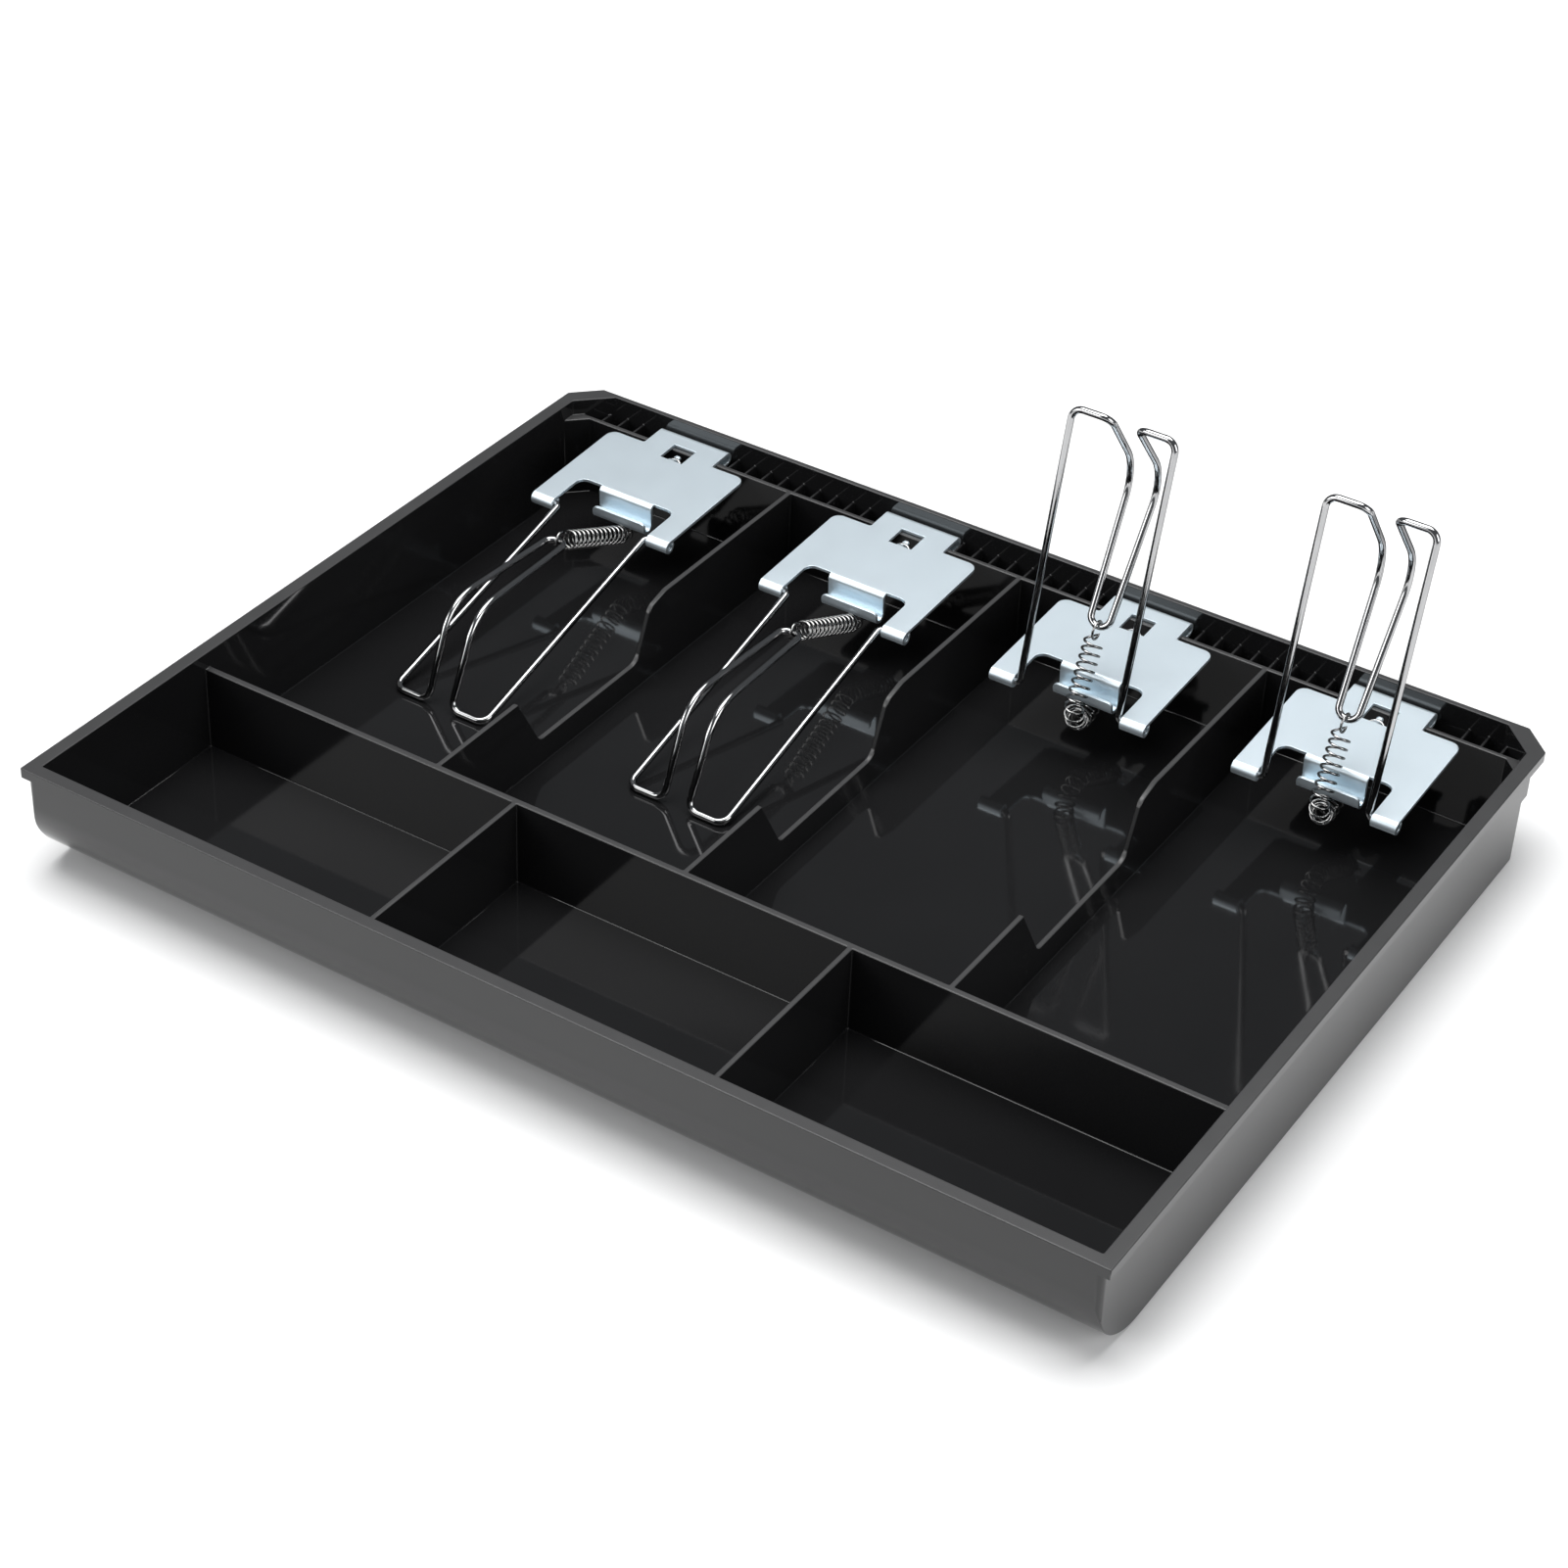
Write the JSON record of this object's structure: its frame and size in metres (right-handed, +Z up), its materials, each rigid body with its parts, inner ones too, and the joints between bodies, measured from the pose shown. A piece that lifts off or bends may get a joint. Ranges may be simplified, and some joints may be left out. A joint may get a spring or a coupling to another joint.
{
  "type": "cash drawer insert tray",
  "caption": "Low black tray with note bays at the back, coin bays at the front and a sprung wire clip on a steel plate in each note bay.",
  "frame": {"origin": "under the middle of the tray, on the surface it stands on", "axes": "+X to the right, +Y to the back where the clips are hinged, +Z up"},
  "size_m": [0.325, 0.252, 0.1062],
  "materials": {
    "black_abs": "gloss",
    "zinc_sheet": "satin",
    "chrome_wire": "polished",
    "spring_steel": "bright"
  },
  "bodies": {
    "tray_body": {"tray": "black_abs", "clip_plate_1": "zinc_sheet", "clip_plate_2": "zinc_sheet", "clip_plate_3": "zinc_sheet", "clip_plate_4": "zinc_sheet", "clip_spring_1": "spring_steel", "clip_spring_2": "spring_steel", "clip_spring_3": "spring_steel", "clip_spring_4": "spring_steel"},
    "clip_1": {"wire_clip_1": "chrome_wire"},
    "clip_2": {"wire_clip_2": "chrome_wire"},
    "clip_3": {"wire_clip_3": "chrome_wire"},
    "clip_4": {"wire_clip_4": "chrome_wire"}
  },
  "joints": [
    {"name": "clip_hinge_1", "type": "hinge", "parent": "tray_body", "child": "clip_1", "pos_m": [-0.11809, 0.07361, 0.02481], "axis": [-1, 0, 0], "range_deg": [0, 117.1], "deforming": ["clip_spring_1"]},
    {"name": "clip_hinge_2", "type": "hinge", "parent": "tray_body", "child": "clip_2", "pos_m": [-0.03676, 0.07361, 0.02481], "axis": [-1, 0, 0], "range_deg": [0, 117.1], "deforming": ["clip_spring_2"]},
    {"name": "clip_hinge_3", "type": "hinge", "parent": "tray_body", "child": "clip_3", "pos_m": [0.04036, 0.07361, 0.02481], "axis": [-1, 0, 0], "range_deg": [-117.1, 0], "deforming": ["clip_spring_3"]},
    {"name": "clip_hinge_4", "type": "hinge", "parent": "tray_body", "child": "clip_4", "pos_m": [0.11629, 0.07361, 0.02481], "axis": [-1, 0, 0], "range_deg": [-117.1, 0], "deforming": ["clip_spring_4"]}
  ]
}
